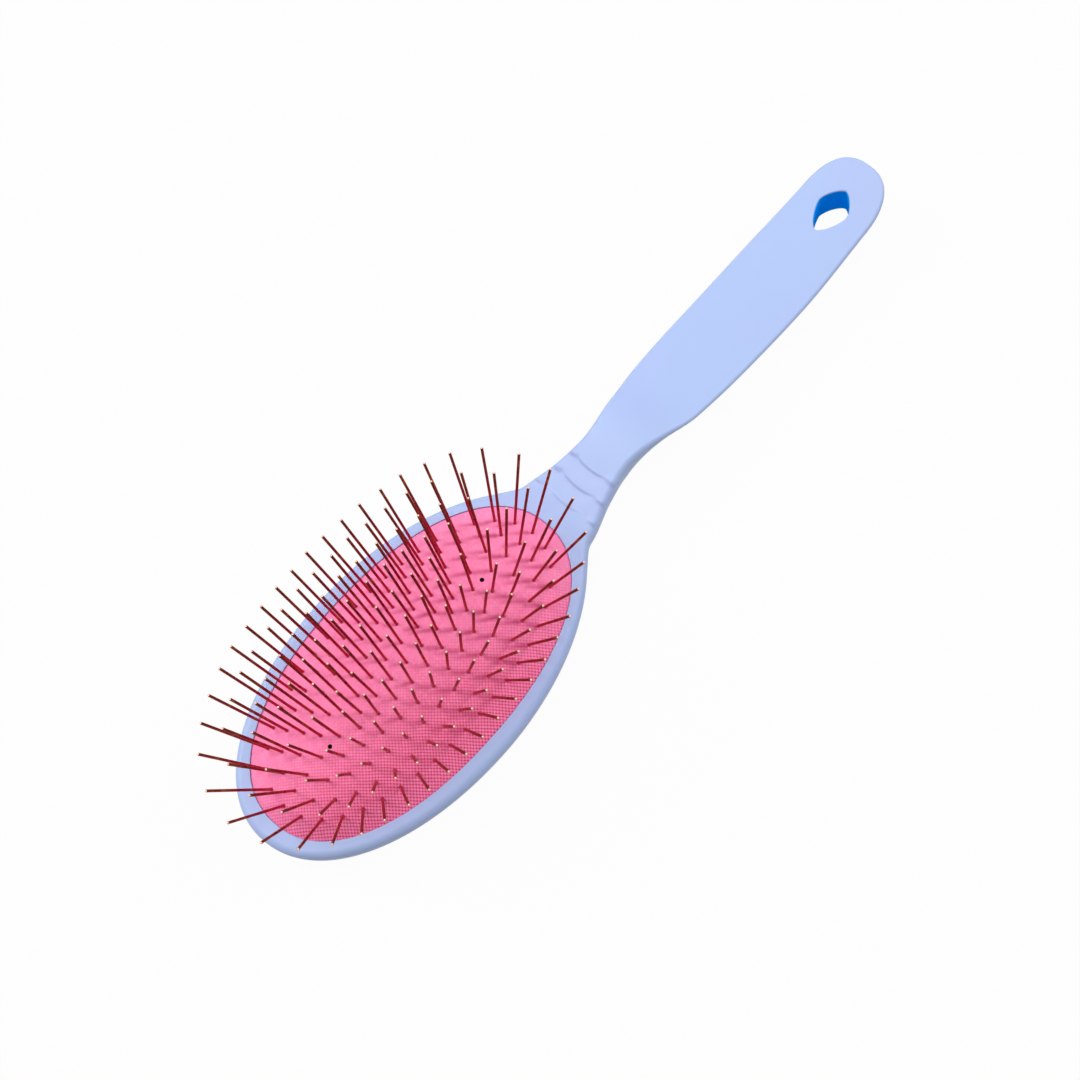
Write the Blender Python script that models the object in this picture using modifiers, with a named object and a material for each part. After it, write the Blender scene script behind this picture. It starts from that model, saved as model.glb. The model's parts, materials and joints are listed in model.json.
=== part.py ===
"""
Cushioned pin brush: a one-piece moulded body with an oval head, an arched neck and a flat grip,
an air cushion held in the head, and metal pins that stand square to the cushion's crown.

The brush lies on its back. +X runs from the toe of the head to the hanging hole, +Z is the way
the pins point, and the origin is on the back face, under the middle of the cushion.
"""
import math

import bmesh
import bpy
from mathutils import Vector

MM = 0.001

# Cushion outline, a squared-off oval, and its crown, which is an arc across the brush
PAD_HALF_LENGTH = 53.4 * MM
PAD_HALF_WIDTH = 28.4 * MM
PAD_SQUARENESS = 2.2
CROWN_RADIUS = 53.5 * MM
PAD_EDGE_DROP = 0.35 * MM

# Pin layout: nested rings from the edge inwards, round a straight row on the long axis
RING_LENGTH_SHARES = (0.913, 0.824, 0.728, 0.620, 0.487)
RING_WIDTH_SHARES = (0.803, 0.655, 0.499, 0.340, 0.171)
RING_SQUARENESS = (2.2, 2.2, 2.0, 1.8, 1.75)
RING_SECTORS = 6
INNER_SECTOR_PINS = 3
ROW_PINS = 7
ROW_HALF_LENGTH = 17.7 * MM
ROW_STRIP_WIDTH_SHARE = 0.5
ROW_FAN_RADIUS = 380.0 * MM

# Pins
PIN_LENGTH = 26.5 * MM
PIN_DIAMETER = 0.78 * MM
PIN_SEAT = 0.55 * MM
PIN_SIDES = 4

# Woven face that carries the pins, and the gap that every seated piece keeps
FACE_THICKNESS = 0.8 * MM
FACE_EDGE_MARGIN = 0.4 * MM
CLEARANCE = 0.3 * MM

# Rubber cushion under the face
CUSHION_SKIN = 2.2 * MM
SHOULDER_ROUND = 0.9 * MM
WAIST_DRAW_IN = 0.5 * MM
SKIRT_DEPTH = 5.2 * MM
BEAD_HEIGHT = 1.9 * MM
BEAD_REACH = 1.0 * MM
BEAD_ROUND = 0.4 * MM
VENT_DIAMETER = 1.25 * MM

# Head: how far the body reaches past the cushion, and how deep it is
RIM_WIDTH_SIDE = 4.8 * MM
RIM_WIDTH_TOE = 5.6 * MM
RIM_WIDTH_HEEL = 6.0 * MM
HEAD_TOE_SQUARENESS = 2.09
HEAD_HEEL_SQUARENESS = 1.95
HEAD_DEPTH = 15.0 * MM
HEAD_FLOOR = 4.5 * MM
RIM_EDGE_ROUND = 0.5 * MM

# Neck and grip: places along the brush, counted from the heel end of the cushion
NECK_START_X = -5.4 * MM
NECK_START_HALF_WIDTH = 13.2 * MM
NECK_ROOT_X = 5.4 * MM
NECK_ROOT_HALF_WIDTH = 11.95 * MM
NECK_TAPER_X = 17.0 * MM
NECK_TAPER_HALF_WIDTH = 8.8 * MM
NECK_X = 25.6 * MM
NECK_HALF_WIDTH = 7.55 * MM
CREST_X = 32.5 * MM
CREST_RISE = 4.85 * MM
SWELL_X = 38.0 * MM
SWELL_HALF_WIDTH = 9.25 * MM
GRIP_START_X = 50.0 * MM
GRIP_START_HALF_WIDTH = 11.4 * MM
GRIP_FULL_X = 68.0 * MM
GRIP_FULL_HALF_WIDTH = 12.3 * MM
GRIP_X = 93.0 * MM
GRIP_HALF_WIDTH = 12.6 * MM
GRIP_SAG = 3.1 * MM
GRIP_THICKNESS = 10.4 * MM
TAIL_X = 121.0 * MM
TAIL_HALF_WIDTH = 11.7 * MM
TAIL_SAG = 1.2 * MM
TAIL_SQUARENESS = 2.45
END_X = 137.4 * MM
END_LIFT = 2.6 * MM
END_THICKNESS = 9.4 * MM
NECK_THICKNESS = 13.3 * MM
SHOULDER_BLEND_POWER = 6
HEEL_LIFT_START_X = -3.0 * MM
FRONT_RISE_START_X = 9.0 * MM

# Section of the body: a flat front with a small round edge, flanks that lean in under the grip's
# edge by a share of its depth, and a deep round to the flat back
FRONT_ROUND = 1.4 * MM
NECK_FRONT_ROUND = 2.2 * MM
CREST_FRONT_ROUND = 1.6 * MM
GRIP_FRONT_ROUND = 1.5 * MM
FRONT_ROUND_SHARE = 0.34
GRIP_FLANK_LEAN = 0.36
BACK_ROUND = 14.0 * MM
BACK_ROUND_SHARE = 0.5
FRONT_CROWN = 0.5 * MM
TOE_SPINE_SHARE = 0.55
TAIL_SPINE_SHARE = 0.3

# Thumb grip: low ribs across the front and flanks of the neck, each stepping down to the head
THUMB_RIBS = 3
THUMB_RIB_FIRST_X = 7.3 * MM
THUMB_RIB_PITCH = 5.65 * MM
THUMB_RIB_STEP = 0.8 * MM
THUMB_RIB_DEPTH = 0.45 * MM

# Hanging hole: a rounded kite, long towards the neck and blunt towards the end
HOLE_WIDEST_X = 121.8 * MM
HOLE_NECK_REACH = 7.9 * MM
HOLE_END_REACH = 5.8 * MM
HOLE_HALF_WIDTH = 4.75 * MM
HOLE_SQUARENESS = 1.45
HOLE_EDGE_ROUND = 0.4 * MM

# Finishes
BODY_COLOUR = (0.45, 0.57, 0.92, 1.0)
BODY_ROUGHNESS = 0.35
CUSHION_COLOUR = (0.80, 0.12, 0.26, 1.0)
CUSHION_ROUGHNESS = 0.75
FACE_COLOUR = (0.95, 0.19, 0.38, 1.0)
FACE_ROUGHNESS = 0.8
PIN_COLOUR = (0.60, 0.32, 0.16, 1.0)
PIN_ROUGHNESS = 0.3
CUSHION_SHARP_ANGLE = math.radians(50)

# Mesh fineness
OVAL_TABLE_STEPS = 240
CUSHION_SIDES = 60
RECESS_SIDES = 64
HOLE_SIDES = 24
TOE_STATIONS = 14
HEAD_STATIONS = 12
NECK_STATIONS = 4
GRIP_STATIONS = 16
TAIL_STATIONS = 9
BACK_ROUND_STEPS = 5
FRONT_ROUND_STEPS = 3
VENT_SIDES = 8
CUT_OVERRUN = 3.0 * MM
SLOPE_STEP = 0.01 * MM
SLOPE_STEP_SHARE = 0.0005
MERGE_DISTANCE = 0.02 * MM

COLLECTION_NAME = "pin_brush"
CUTTER_COLLECTION_NAME = "pin_brush_cutters"


def clear_scene():
    for obj in list(bpy.data.objects):
        bpy.data.objects.remove(obj, do_unlink=True)


def make_collection(name):
    collection = bpy.data.collections.new(name)
    bpy.context.scene.collection.children.link(collection)
    return collection


def make_material(name, colour, roughness, metallic=0):
    material = bpy.data.materials.new(name)
    material.use_nodes = True
    material.diffuse_color = colour
    shader = material.node_tree.nodes["Principled BSDF"]
    shader.inputs["Base Color"].default_value = colour
    shader.inputs["Roughness"].default_value = roughness
    shader.inputs["Metallic"].default_value = metallic
    return material


def object_from_bmesh(bm, name, collection, material=None):
    bmesh.ops.recalc_face_normals(bm, faces=bm.faces)
    mesh = bpy.data.meshes.new(name)
    bm.to_mesh(mesh)
    bm.free()
    if material:
        mesh.materials.append(material)
    obj = bpy.data.objects.new(name, mesh)
    collection.objects.link(obj)
    return obj


def hide_cutter(obj):
    obj.hide_render = True
    obj.display_type = "WIRE"


def add_boolean(obj, cutter, operation):
    modifier = obj.modifiers.new(cutter.name, "BOOLEAN")
    modifier.object = cutter
    modifier.operation = operation
    modifier.solver = "EXACT"
    return modifier


def smooth_through(points, x):
    """Height at x of a smooth curve through the points, which never overshoots them."""
    if x <= points[0][0]:
        return points[0][1]
    if x >= points[-1][0]:
        return points[-1][1]
    steps = [(b[1] - a[1]) / (b[0] - a[0]) for a, b in zip(points, points[1:])]
    slopes = [steps[0]]
    for before, after in zip(steps, steps[1:]):
        slopes.append(2 * before * after / (before + after) if before * after > 0 else 0)
    slopes.append(steps[-1])
    for i, (left, right) in enumerate(zip(points, points[1:])):
        if x <= right[0]:
            run = right[0] - left[0]
            u = (x - left[0]) / run
            return (left[1] * (1 + 2 * u) * (1 - u) ** 2
                    + slopes[i] * run * u * (1 - u) ** 2
                    + right[1] * u * u * (3 - 2 * u)
                    + slopes[i + 1] * run * u * u * (u - 1))
    return points[-1][1]


def quarter_oval(half_length, half_width, squareness):
    """Points of a quarter of the oval from its heel end, each with its distance along it."""
    table = []
    run = 0
    for i in range(OVAL_TABLE_STEPS + 1):
        angle = math.pi / 2 * i / OVAL_TABLE_STEPS
        x = half_length * max(math.cos(angle), 0) ** (2 / squareness)
        y = half_width * math.sin(angle) ** (2 / squareness)
        if table:
            run += math.hypot(x - table[-1][1], y - table[-1][2])
        table.append((run, x, y))
    return table


def oval_points(half_length, half_width, squareness, shares):
    """Points at the given shares of the way round an oval, from its heel end."""
    table = quarter_oval(half_length, half_width, squareness)
    quarter = table[-1][0]
    points = []
    for share in shares:
        quarters = (share % 1) * 4
        index = int(quarters)
        part = quarters - index
        along = quarter * (1 - part if index % 2 else part)
        low = 0
        high = OVAL_TABLE_STEPS
        while high - low > 1:
            middle = (low + high) // 2
            if table[middle][0] <= along:
                low = middle
            else:
                high = middle
        span = table[high][0] - table[low][0]
        mix = (along - table[low][0]) / span
        x = table[low][1] + (table[high][1] - table[low][1]) * mix
        y = table[low][2] + (table[high][2] - table[low][2]) * mix
        points.append((-x if index in (1, 2) else x, -y if index in (2, 3) else y))
    return points


def even_shares(count):
    return [i / count for i in range(count)]


# The cushion's surface: nested ovals, each at the height that the crown has at its half width

def ring_half_width(ring):
    return PAD_HALF_WIDTH * RING_WIDTH_SHARES[ring]


def ring_half_length(ring):
    return PAD_HALF_LENGTH * RING_LENGTH_SHARES[ring]


def pad_edge_height():
    return HEAD_DEPTH - PAD_EDGE_DROP


def crown_drop(half_width):
    return CROWN_RADIUS - math.sqrt(CROWN_RADIUS ** 2 - half_width ** 2)


def crown_height(half_width):
    return pad_edge_height() + crown_drop(PAD_HALF_WIDTH) - crown_drop(half_width)


def level_oval(half_width):
    """Half length, half width and squareness of the cushion's level curve."""
    rings = range(len(RING_WIDTH_SHARES) - 1, -1, -1)
    lengths = [(0, ROW_HALF_LENGTH)]
    lengths += [(ring_half_width(ring), ring_half_length(ring)) for ring in rings]
    lengths.append((PAD_HALF_WIDTH, PAD_HALF_LENGTH))
    squareness = [(ring_half_width(ring), RING_SQUARENESS[ring]) for ring in rings]
    squareness.append((PAD_HALF_WIDTH, PAD_SQUARENESS))
    return smooth_through(lengths, half_width), half_width, smooth_through(squareness, half_width)


def level_points(half_width, shares, sink=0):
    height = crown_height(half_width) - sink
    return [Vector((x, y, height)) for x, y in oval_points(*level_oval(half_width), shares)]


def pin_direction(half_width, share):
    """Direction square to the cushion's surface, which a pin follows."""
    ahead, behind = level_points(half_width, (share + SLOPE_STEP_SHARE, share - SLOPE_STEP_SHARE))
    outer = level_points(half_width + SLOPE_STEP, (share,))[0]
    inner = level_points(half_width - SLOPE_STEP, (share,))[0]
    return (outer - inner).cross(ahead - behind).normalized()


def loft(loops):
    """Closed skin over a run of loops with equal counts, capped at both ends."""
    bm = bmesh.new()
    rows = [[bm.verts.new(point) for point in loop] for loop in loops]
    count = len(rows[0])
    for lower, upper in zip(rows, rows[1:]):
        for i in range(count):
            j = (i + 1) % count
            bm.faces.new((lower[i], lower[j], upper[j], upper[i]))
    bm.faces.new(rows[0])
    bm.faces.new(rows[-1])
    return bm


def offset_pad_loop(offset, height, shares):
    """Level loop that runs a fixed distance outside the cushion's edge, or inside it."""
    half_length = PAD_HALF_LENGTH + offset
    half_width = PAD_HALF_WIDTH + offset
    points = oval_points(half_length, half_width, PAD_SQUARENESS, shares)
    return [Vector((x, y, height)) for x, y in points]


# Body outline and profile

def from_heel(distance):
    return PAD_HALF_LENGTH + distance


def neck_half_width(x):
    stations = (
        (from_heel(NECK_START_X), NECK_START_HALF_WIDTH),
        (from_heel(NECK_ROOT_X), NECK_ROOT_HALF_WIDTH),
        (from_heel(NECK_TAPER_X), NECK_TAPER_HALF_WIDTH),
        (from_heel(NECK_X), NECK_HALF_WIDTH),
        (from_heel(SWELL_X), SWELL_HALF_WIDTH),
        (from_heel(GRIP_START_X), GRIP_START_HALF_WIDTH),
        (from_heel(GRIP_FULL_X), GRIP_FULL_HALF_WIDTH),
        (from_heel(GRIP_X), GRIP_HALF_WIDTH),
        (from_heel(TAIL_X), TAIL_HALF_WIDTH),
    )
    return smooth_through(stations, x)


def oval_half_width(x, half_length, squareness):
    share = min(abs(x) / half_length, 1)
    head_half_width = PAD_HALF_WIDTH + RIM_WIDTH_SIDE
    return head_half_width * (1 - share ** squareness) ** (1 / squareness)


def outline_half_width(x):
    if x <= 0:
        return oval_half_width(x, PAD_HALF_LENGTH + RIM_WIDTH_TOE, HEAD_TOE_SQUARENESS)
    if x < from_heel(TAIL_X):
        head = oval_half_width(x, PAD_HALF_LENGTH + RIM_WIDTH_HEEL, HEAD_HEEL_SQUARENESS)
        power = SHOULDER_BLEND_POWER
        # The neck only counts past the middle of the head, where its share starts from nothing
        neck = neck_half_width(x) * min(x / PAD_HALF_LENGTH, 1)
        return (head ** power + neck ** power) ** (1 / power)
    share = min((x - from_heel(TAIL_X)) / (END_X - TAIL_X), 1)
    return TAIL_HALF_WIDTH * (1 - share ** TAIL_SQUARENESS) ** (1 / TAIL_SQUARENESS)


def front_height(x):
    """Height of the front face: level at the head, up over the neck, down along the grip."""
    grip = HEAD_DEPTH - GRIP_SAG
    profile = (
        (from_heel(FRONT_RISE_START_X), HEAD_DEPTH),
        (from_heel(CREST_X), HEAD_DEPTH + CREST_RISE),
        (from_heel(GRIP_START_X), HEAD_DEPTH),
        (from_heel(GRIP_X), grip),
        (from_heel(TAIL_X), HEAD_DEPTH - TAIL_SAG),
        (from_heel(END_X), HEAD_DEPTH + END_LIFT),
    )
    return smooth_through(profile, x)


def back_height(x):
    grip = HEAD_DEPTH - GRIP_SAG
    profile = (
        (from_heel(HEEL_LIFT_START_X), 0),
        (from_heel(CREST_X), HEAD_DEPTH + CREST_RISE - NECK_THICKNESS),
        (from_heel(GRIP_X), grip - GRIP_THICKNESS),
        (from_heel(TAIL_X), HEAD_DEPTH - TAIL_SAG - GRIP_THICKNESS),
        (from_heel(END_X), HEAD_DEPTH + END_LIFT - END_THICKNESS),
    )
    return smooth_through(profile, x)


def front_round_at(x):
    """Round of the front edge: softer over the neck than round the head, and small on the grip."""
    profile = (
        (0, FRONT_ROUND),
        (from_heel(NECK_ROOT_X), NECK_FRONT_ROUND),
        (from_heel(CREST_X), CREST_FRONT_ROUND),
        (from_heel(GRIP_START_X), GRIP_FRONT_ROUND),
    )
    return smooth_through(profile, x)


def flank_lean_at(x):
    profile = ((from_heel(NECK_X), 0), (from_heel(GRIP_START_X), GRIP_FLANK_LEAN))
    return smooth_through(profile, x)


def spine_x(x):
    """Place on the long axis that the section at outline place x starts from."""
    if x < 0:
        return x * TOE_SPINE_SHARE
    tail = from_heel(TAIL_X)
    if x > tail:
        return tail + (x - tail) * TAIL_SPINE_SHARE
    return x


def rib_foot(rib):
    """Place where a rib's step towards the head is at its full depth."""
    return from_heel(THUMB_RIB_FIRST_X + rib * THUMB_RIB_PITCH) - THUMB_RIB_STEP / 2


def rib_ramp():
    """Length of the ramp between a rib's foot and the crest before it, which is one step wide."""
    return THUMB_RIB_PITCH - THUMB_RIB_STEP * 2


def rib_depth(x):
    """How far the thumb grip is cut down at x: all the way at a rib's foot, not at all on crests."""
    for rib in range(THUMB_RIBS):
        past = x - rib_foot(rib)
        share = 1 - past / THUMB_RIB_STEP if past > 0 else 1 + past / rib_ramp()
        if 0 < share <= 1:
            return THUMB_RIB_DEPTH * share ** 2 * (3 - 2 * share)
    return 0


def body_stations():
    """Outline places from the toe to the end, closer together where the form turns."""
    toe = PAD_HALF_LENGTH + RIM_WIDTH_TOE
    stations = []
    for i in range(TOE_STATIONS):
        angle = math.pi / 2 * i / TOE_STATIONS
        stations.append(-toe * math.cos(angle) ** (2 / HEAD_TOE_SQUARENESS))
    first_ramp = rib_foot(0) - rib_ramp()
    stations += [first_ramp * i / HEAD_STATIONS for i in range(HEAD_STATIONS)]
    for rib in range(THUMB_RIBS):
        foot = rib_foot(rib)
        stations += [foot - rib_ramp(), foot - rib_ramp() / 2, foot]
        stations += [foot + THUMB_RIB_STEP / 2, foot + THUMB_RIB_STEP]
    neck_end = rib_foot(THUMB_RIBS - 1) + THUMB_RIB_STEP * 2
    tail = from_heel(TAIL_X)
    stations += [neck_end + (tail - neck_end) * i / GRIP_STATIONS for i in range(GRIP_STATIONS)]
    for i in range(TAIL_STATIONS + 1):
        angle = math.pi / 2 * i / TAIL_STATIONS
        share = max(math.sin(angle), 0) ** (2 / TAIL_SQUARENESS)
        stations.append(tail + (END_X - TAIL_X) * share)
    return stations


def body_section(x):
    """Half section of the body: from the back's middle round the flank to the front's middle."""
    start = Vector((spine_x(x), 0))
    rim = Vector((x, outline_half_width(x)))
    reach = (rim - start).length
    along = (rim - start) / reach
    rib_cut = rib_depth(x)
    reach -= rib_cut
    front_round = min(front_round_at(x), reach * FRONT_ROUND_SHARE)
    back_round = 1 / math.hypot(1 / BACK_ROUND, 1 / (reach * BACK_ROUND_SHARE))
    lean = flank_lean_at(x) * (front_height(x) - front_round - back_height(x))

    def place(distance, share_up, lift):
        """Point on the section: share_up runs from the back to the widest level."""
        spot = start + along * distance
        front = front_height(spot.x) - rib_cut
        back = back_height(spot.x)
        widest = front - front_round
        if lift is None:
            return Vector((spot.x, spot.y, back + (widest - back) * share_up))
        return Vector((spot.x, spot.y, widest + lift))

    section = [place(0, 0, None)]
    for i in range(BACK_ROUND_STEPS + 1):
        angle = math.pi / 2 * i / BACK_ROUND_STEPS
        distance = reach - back_round * (1 - math.sin(angle)) - lean * math.cos(angle)
        section.append(place(distance, 1 - math.cos(angle), None))
    for i in range(1, FRONT_ROUND_STEPS + 1):
        angle = math.pi / 2 * i / FRONT_ROUND_STEPS
        distance = reach - front_round * (1 - math.cos(angle))
        section.append(place(distance, 1, front_round * math.sin(angle)))
    grip_crown = FRONT_CROWN * min(max(x - PAD_HALF_LENGTH, 0) / CREST_X, 1)
    flat = reach - front_round
    section.append(place(flat / 2, 1, front_round + grip_crown * 3 / 4))
    section.append(place(0, 1, front_round + grip_crown))
    return section


def build_body(collection, cutters, material):
    """Half of the body as a loft of half sections, mirrored, with the recess and hole cut."""
    bm = bmesh.new()
    rows = []
    for x in body_stations():
        rows.append([bm.verts.new(point) for point in body_section(x)])
    for left, right in zip(rows, rows[1:]):
        for i in range(len(left) - 1):
            bm.faces.new((left[i], right[i], right[i + 1], left[i + 1]))
    body = object_from_bmesh(bm, "body", collection, material)
    body.data.shade_smooth()
    mirror = body.modifiers.new("mirror", "MIRROR")
    mirror.use_axis = (False, True, False)
    mirror.merge_threshold = MERGE_DISTANCE
    for cutter in (build_recess_cutter(cutters), build_hole_cutter(cutters)):
        add_boolean(body, cutter, "DIFFERENCE")
    return body


def build_recess_cutter(cutters):
    """Pocket for the cushion, with the groove that its bead snaps into and a soft top edge."""
    bead_top = pad_edge_height() - SKIRT_DEPTH + BEAD_HEIGHT + CLEARANCE
    bead_bottom = pad_edge_height() - SKIRT_DEPTH - CLEARANCE
    groove = BEAD_REACH + CLEARANCE * 2
    profile = (
        (CLEARANCE, HEAD_FLOOR),
        (CLEARANCE, bead_bottom - BEAD_REACH),
        (groove, bead_bottom),
        (groove, bead_top),
        (CLEARANCE, bead_top + BEAD_REACH),
        (CLEARANCE, HEAD_DEPTH - RIM_EDGE_ROUND),
        (CLEARANCE + RIM_EDGE_ROUND, HEAD_DEPTH),
        (CLEARANCE + RIM_EDGE_ROUND + CUT_OVERRUN, HEAD_DEPTH + CUT_OVERRUN),
    )
    shares = even_shares(RECESS_SIDES)
    loops = [offset_pad_loop(offset, height, shares) for offset, height in profile]
    cutter = object_from_bmesh(loft(loops), "recess_cutter", cutters)
    hide_cutter(cutter)
    return cutter


def hole_loop(growth, height):
    points = []
    for i in range(HOLE_SIDES):
        angle = math.tau * i / HOLE_SIDES
        side = math.cos(angle)
        reach = (HOLE_END_REACH if side > 0 else HOLE_NECK_REACH) + growth
        x = reach * math.copysign(abs(side) ** (2 / HOLE_SQUARENESS), side)
        across = math.sin(angle)
        width = HOLE_HALF_WIDTH + growth
        y = width * math.copysign(abs(across) ** (2 / HOLE_SQUARENESS), across)
        centre = from_heel(HOLE_WIDEST_X)
        points.append(Vector((centre + x, y, height)))
    return points


def build_hole_cutter(cutters):
    """Hanging hole, flared where it meets the front and the back."""
    x = from_heel(HOLE_WIDEST_X)
    front = front_height(x) + FRONT_CROWN
    back = back_height(x)
    profile = (
        (HOLE_EDGE_ROUND + CUT_OVERRUN, back - CUT_OVERRUN),
        (HOLE_EDGE_ROUND, back),
        (0, back + HOLE_EDGE_ROUND),
        (0, front - HOLE_EDGE_ROUND),
        (HOLE_EDGE_ROUND, front),
        (HOLE_EDGE_ROUND + CUT_OVERRUN, front + CUT_OVERRUN),
    )
    loops = [hole_loop(growth, height) for growth, height in profile]
    cutter = object_from_bmesh(loft(loops), "hole_cutter", cutters)
    hide_cutter(cutter)
    return cutter


def build_vent_cutters(cutters):
    """Two air vents on the long axis, midway between the end pins of the two inmost rings."""
    cutter_objects = []
    away = (ring_half_length(-1) + ring_half_length(-2)) / 2
    for name, side in (("heel", 1), ("toe", -1)):
        bm = bmesh.new()
        bmesh.ops.create_cone(bm, cap_ends=True, segments=VENT_SIDES, radius1=VENT_DIAMETER / 2,
                              radius2=VENT_DIAMETER / 2, depth=HEAD_DEPTH)
        bmesh.ops.translate(bm, verts=bm.verts, vec=(side * away, 0, crown_height(0)))
        cutter = object_from_bmesh(bm, "vent_cutter_" + name, cutters)
        hide_cutter(cutter)
        cutter_objects.append(cutter)
    return cutter_objects


def build_cushion(collection, vents, material):
    """Rubber cushion: a crowned skin with drawn-in sides, a skirt and a bead, open below."""
    sink = FACE_THICKNESS + CLEARANCE
    edge = pad_edge_height()
    shares = even_shares(CUSHION_SIDES)
    widths = [ring_half_width(i) for i in range(len(RING_WIDTH_SHARES))]
    middles = [(a + b) / 2 for a, b in zip(widths, widths[1:])]
    shoulder = PAD_HALF_WIDTH - SHOULDER_ROUND
    inmost = widths[-1] * ROW_STRIP_WIDTH_SHARE
    top_levels = [inmost] + middles[::-1] + [widths[0], (widths[0] + shoulder) / 2, shoulder]
    loops = [level_points(level, shares, sink) for level in top_levels]
    foot = edge - SKIRT_DEPTH
    shoulder_top = loops[-1][0].z
    bead_middle = foot + BEAD_HEIGHT / 2
    skirt = (
        (0, shoulder_top - SHOULDER_ROUND),
        (-WAIST_DRAW_IN, (shoulder_top - SHOULDER_ROUND + foot + BEAD_HEIGHT) / 2),
        (0, foot + BEAD_HEIGHT),
        (BEAD_REACH, bead_middle + BEAD_ROUND),
        (BEAD_REACH, bead_middle - BEAD_ROUND),
        (0, foot),
        (-CUSHION_SKIN, foot),
        (-CUSHION_SKIN, shoulder_top - SHOULDER_ROUND - CUSHION_SKIN),
    )
    loops += [offset_pad_loop(offset, height, shares) for offset, height in skirt]
    under_levels = [widths[0], middles[1], middles[-1], inmost]
    loops += [level_points(level, shares, sink + CUSHION_SKIN) for level in under_levels]
    cushion = object_from_bmesh(loft(loops), "cushion", collection, material)
    cushion.data.shade_smooth()
    cushion.data.set_sharp_from_angle(angle=CUSHION_SHARP_ANGLE)
    for vent in vents:
        add_boolean(cushion, vent, "DIFFERENCE")
    return cushion


def sheet_to_face(bm):
    """Gives the sheet the face's thickness, straight down, so neighbours can slide past."""
    faces = list(bm.faces)
    lower = bmesh.ops.extrude_face_region(bm, geom=faces, use_keep_orig=True)["geom"]
    lower_verts = [item for item in lower if isinstance(item, bmesh.types.BMVert)]
    bmesh.ops.translate(bm, verts=lower_verts, vec=(0, 0, -FACE_THICKNESS))
    return bm


def sector_face(inner, outer, first_share, last_share, columns, rows):
    """Slice of the woven face between two level curves and two shares of the way round."""
    bm = bmesh.new()
    bmesh.ops.create_grid(bm, x_segments=columns, y_segments=rows, size=1)
    shares = [first_share + (last_share - first_share) * i / columns for i in range(columns + 1)]
    lines = [level_points(inner + (outer - inner) * i / rows, shares) for i in range(rows + 1)]
    for vert in bm.verts:
        column = round((vert.co.x + 1) / 2 * columns)
        row = round((vert.co.y + 1) / 2 * rows)
        vert.co = lines[row][column]
    return sheet_to_face(bm)


def build_pins(name, feet, cutters, material):
    """The pins of one slice: straight wires with pointed ends, standing on their feet."""
    bm = bmesh.new()
    radius = PIN_DIAMETER / 2
    length = PIN_LENGTH + PIN_SEAT
    for foot, direction in feet:
        wire = bmesh.ops.create_cone(bm, cap_ends=True, segments=PIN_SIDES, radius1=radius,
                                     radius2=radius, depth=length - radius)["verts"]
        bmesh.ops.translate(bm, verts=wire, vec=(0, 0, (length - radius) / 2 - PIN_SEAT))
        top = max(vert.co.z for vert in wire)
        ends = {face for vert in wire for face in vert.link_faces}
        caps = [face for face in ends if all(vert.co.z == top for vert in face.verts)]
        point = bmesh.ops.poke(bm, faces=caps)["verts"]
        bmesh.ops.translate(bm, verts=point, vec=(0, 0, radius))
        turn = direction.to_track_quat("Z", "Y").to_matrix()
        bmesh.ops.rotate(bm, verts=wire + point, cent=(0, 0, 0), matrix=turn)
        bmesh.ops.translate(bm, verts=wire + point, vec=foot)
    pins = object_from_bmesh(bm, name, cutters, material)
    hide_cutter(pins)
    return pins


def build_pin_slice(name, face_bm, feet, vents, collection, cutters, materials):
    """A slice of the woven face with its pins set in it, as one piece."""
    piece = object_from_bmesh(face_bm, name, collection, materials["face"])
    pins = build_pins(name + "_wires", feet, cutters, materials["pins"])
    union = add_boolean(piece, pins, "UNION")
    union.material_mode = "TRANSFER"
    for vent in vents:
        add_boolean(piece, vent, "DIFFERENCE")
    return piece


def build_ring(ring, vents, collection, cutters, materials):
    """One ring of pins, cut into sectors that hold an equal number of pins."""
    rings = len(RING_WIDTH_SHARES)
    own = ring_half_width(ring)
    if ring == 0:
        outer = PAD_HALF_WIDTH - FACE_EDGE_MARGIN
    else:
        outer = (own + ring_half_width(ring - 1)) / 2 - CLEARANCE / 2
    if ring == rings - 1:
        inner = own * ROW_STRIP_WIDTH_SHARE + CLEARANCE / 2
    else:
        inner = (own + ring_half_width(ring + 1)) / 2 + CLEARANCE / 2
    sector_pins = INNER_SECTOR_PINS + rings - 1 - ring
    pin_count = sector_pins * RING_SECTORS
    half_gap_share = CLEARANCE / 2 / (4 * quarter_oval(*level_oval(inner))[-1][0])
    rows = 3 if ring == 0 else 2
    for sector in range(RING_SECTORS):
        first_pin = sector * sector_pins - (sector_pins - 1) // 2
        first_share = (first_pin - 0.5) / pin_count + half_gap_share
        last_share = (first_pin + sector_pins - 0.5) / pin_count - half_gap_share
        face = sector_face(inner, outer, first_share, last_share, sector_pins * 2, rows)
        feet = []
        for pin in range(first_pin, first_pin + sector_pins):
            share = pin / pin_count
            feet.append((level_points(own, (share,))[0], pin_direction(own, share)))
        touched = []
        if ring >= rings - 2:
            if sector == 0:
                touched = [vents[0]]
            if sector == RING_SECTORS // 2:
                touched = [vents[1]]
        name = f"ring_{ring + 1}_pins_{sector + 1}"
        build_pin_slice(name, face, feet, touched, collection, cutters, materials)


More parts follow.
